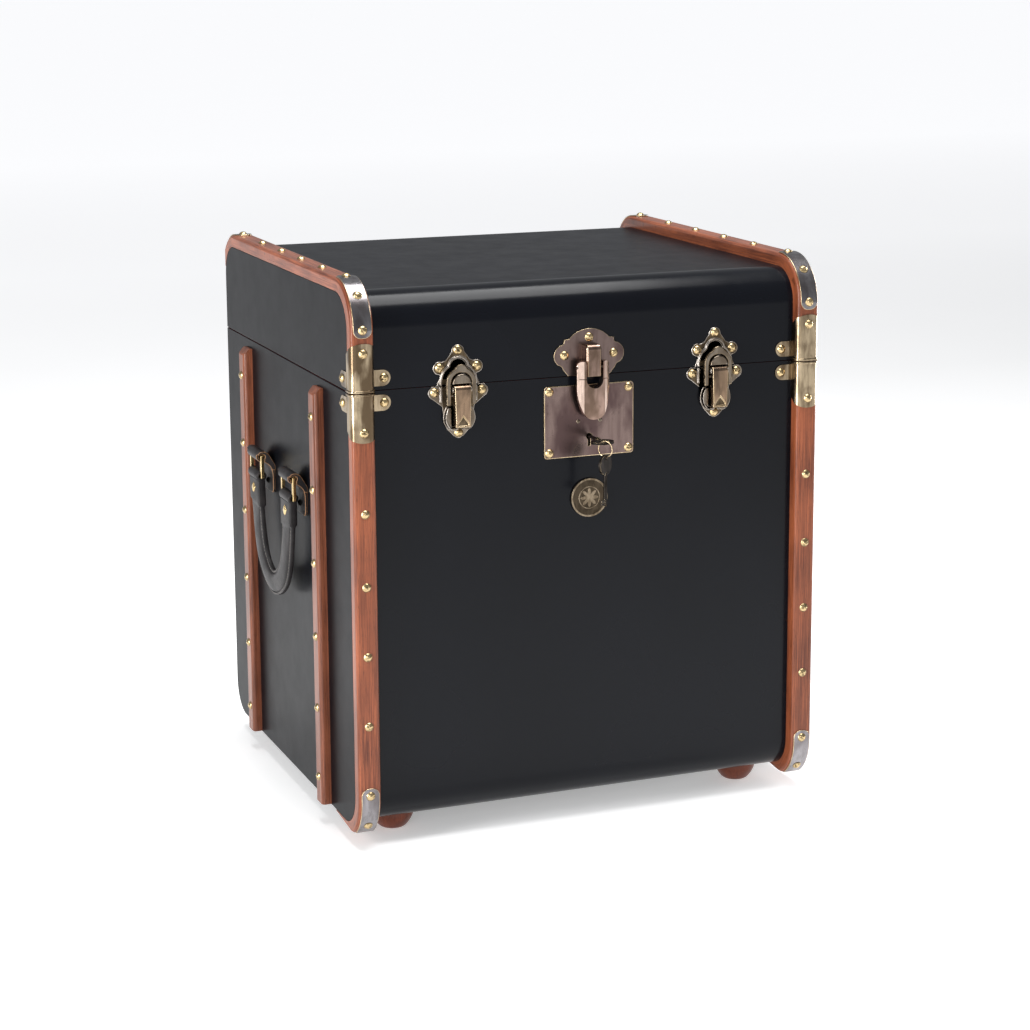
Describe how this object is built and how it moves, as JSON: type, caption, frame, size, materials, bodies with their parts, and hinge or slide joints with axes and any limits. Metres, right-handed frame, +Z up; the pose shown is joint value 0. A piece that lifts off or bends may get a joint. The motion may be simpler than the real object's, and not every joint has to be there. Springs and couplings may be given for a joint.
{
  "type": "steamer trunk",
  "caption": "Flat-topped steamer trunk of black boards with wooden battens and side slats, brass nails and caps, a hinged lid, draw latches, a hasp lock with keys, and leather side handles.",
  "frame": {"origin": "on the floor, under the middle of the whole trunk's bounding box", "axes": "+Z up, the latched front faces -Y, +X to the right when facing the front"},
  "size_m": [0.5486, 0.5073, 0.5807],
  "materials": {
    "black_boards": "satin black coated board",
    "lining": "plain woven lining",
    "reddish_wood": "stained and waxed hardwood",
    "foot_wood": "stained hardwood",
    "gunmetal_strap": "dark lacquered sheet metal with worn brass edges",
    "antique_brass": "polished antique brass",
    "bright_brass": "bright brass",
    "pewter_bronze": "dark bronze plating with worn edges",
    "lock_bronze": "dark bronze plating with bright edges",
    "dark_steel": "darkened steel",
    "key_steel": "plated steel",
    "black_leather": "stitched black leather"
  },
  "bodies": {
    "body": {"body_batten_left": "reddish_wood", "body_batten_right": "reddish_wood", "body_lining": "lining", "body_nails": "bright_brass", "body_side_left": "black_boards", "body_side_right": "black_boards", "body_wrap": "black_boards", "bun_feet": "foot_wood", "chape_rivets": "dark_steel", "corner_straps_bottom": "gunmetal_strap", "handle_chapes_left": "black_leather", "handle_chapes_right": "black_leather", "hinge_leaves_body": "antique_brass", "hinge_pins": "dark_steel", "hinge_screws_body": "dark_steel", "joint_cap_lower_left": "antique_brass", "joint_cap_lower_right": "antique_brass", "latch_base_left": "pewter_bronze", "latch_base_right": "pewter_bronze", "latch_lever_pins": "pewter_bronze", "lock_case": "dark_steel", "lock_plate": "lock_bronze", "lock_screws": "dark_steel", "medallion": "antique_brass", "side_slats_left": "reddish_wood", "side_slats_right": "reddish_wood"},
    "lid": {"corner_straps_back": "gunmetal_strap", "corner_straps_front": "gunmetal_strap", "hasp_bar": "lock_bronze", "hasp_pin": "dark_steel", "hasp_plate": "lock_bronze", "hinge_leaves_lid": "antique_brass", "hinge_screws_lid": "dark_steel", "joint_cap_upper_left": "antique_brass", "joint_cap_upper_right": "antique_brass", "latch_catch_left": "pewter_bronze", "latch_catch_right": "pewter_bronze", "lid_batten_left": "reddish_wood", "lid_batten_right": "reddish_wood", "lid_lining": "lining", "lid_nails": "bright_brass", "lid_side_left": "black_boards", "lid_side_right": "black_boards", "lid_wrap": "black_boards"},
    "latch_lever_left": {"latch_lever_left": "pewter_bronze", "latch_loop_pin_left": "pewter_bronze"},
    "latch_loop_left": {"latch_loop_left": "pewter_bronze"},
    "handle_rings_left": {"handle_rings_left": "bright_brass"},
    "handle_left": {"handle_left": "black_leather", "handle_studs_left": "bright_brass"},
    "latch_lever_right": {"latch_lever_right": "pewter_bronze", "latch_loop_pin_right": "pewter_bronze"},
    "latch_loop_right": {"latch_loop_right": "pewter_bronze"},
    "handle_rings_right": {"handle_rings_right": "bright_brass"},
    "handle_right": {"handle_right": "black_leather", "handle_studs_right": "bright_brass"},
    "hasp_lever": {"hasp_lever": "lock_bronze"},
    "key": {"key": "key_steel"},
    "key_ring": {"key_ring": "key_steel"},
    "spare_key": {"spare_key": "key_steel"}
  },
  "joints": [
    {"name": "lid_hinge", "type": "hinge", "parent": "body", "child": "lid", "pos_m": [0, 0.24958, 0.4687], "axis": [-1, 0, 0], "range_deg": [0, 95]},
    {"name": "latch_lever_hinge_left", "type": "hinge", "parent": "body", "child": "latch_lever_left", "pos_m": [-0.1403, -0.21512, 0.4655], "axis": [-1, 0, 0], "range_deg": [0, 105]},
    {"name": "latch_loop_hinge_left", "type": "hinge", "parent": "latch_lever_left", "child": "latch_loop_left", "pos_m": [-0.1403, -0.21262, 0.4595], "axis": [-1, 0, 0], "range_deg": [-121, 0]},
    {"name": "latch_lever_hinge_right", "type": "hinge", "parent": "body", "child": "latch_lever_right", "pos_m": [0.1403, -0.21512, 0.4655], "axis": [-1, 0, 0], "range_deg": [0, 105]},
    {"name": "latch_loop_hinge_right", "type": "hinge", "parent": "latch_lever_right", "child": "latch_loop_right", "pos_m": [0.1403, -0.21262, 0.4595], "axis": [-1, 0, 0], "range_deg": [-121, 0]},
    {"name": "hasp_lever_hinge", "type": "hinge", "parent": "lid", "child": "hasp_lever", "pos_m": [0, -0.21512, 0.4785], "axis": [-1, 0, 0], "range_deg": [0, 100]},
    {"name": "key_turn", "type": "hinge", "parent": "body", "child": "key", "pos_m": [0, -0.20362, 0.406], "axis": [0, 1, 0], "range_deg": [0, 90]},
    {"name": "key_ring_swing", "type": "hinge", "parent": "key", "child": "key_ring", "pos_m": [0, -0.24642, 0.4084], "axis": [-0.5736, 0.8192, 0], "range_deg": [-20, 20]},
    {"name": "spare_key_swing", "type": "hinge", "parent": "key_ring", "child": "spare_key", "pos_m": [0, -0.24642, 0.3924], "axis": [-0.5736, 0.8192, 0], "range_deg": [-25, 25]},
    {"name": "handle_rings_swing_left", "type": "hinge", "parent": "body", "child": "handle_rings_left", "pos_m": [-0.2685, 0.02088, 0.355], "axis": [0, 1, 0], "range_deg": [0, 90]},
    {"name": "handle_swing_left", "type": "hinge", "parent": "handle_rings_left", "child": "handle_left", "pos_m": [-0.2685, 0.02088, 0.333], "axis": [0, 1, 0], "range_deg": [0, 75]},
    {"name": "handle_rings_swing_right", "type": "hinge", "parent": "body", "child": "handle_rings_right", "pos_m": [0.2685, 0.02088, 0.355], "axis": [0, -1, 0], "range_deg": [0, 90]},
    {"name": "handle_swing_right", "type": "hinge", "parent": "handle_rings_right", "child": "handle_right", "pos_m": [0.2685, 0.02088, 0.333], "axis": [0, -1, 0], "range_deg": [0, 75]}
  ],
  "couplings": [
    {"joint": "latch_loop_hinge_left", "follows": "latch_lever_hinge_left", "ratio": -1.15},
    {"joint": "latch_loop_hinge_right", "follows": "latch_lever_hinge_right", "ratio": -1.15}
  ]
}
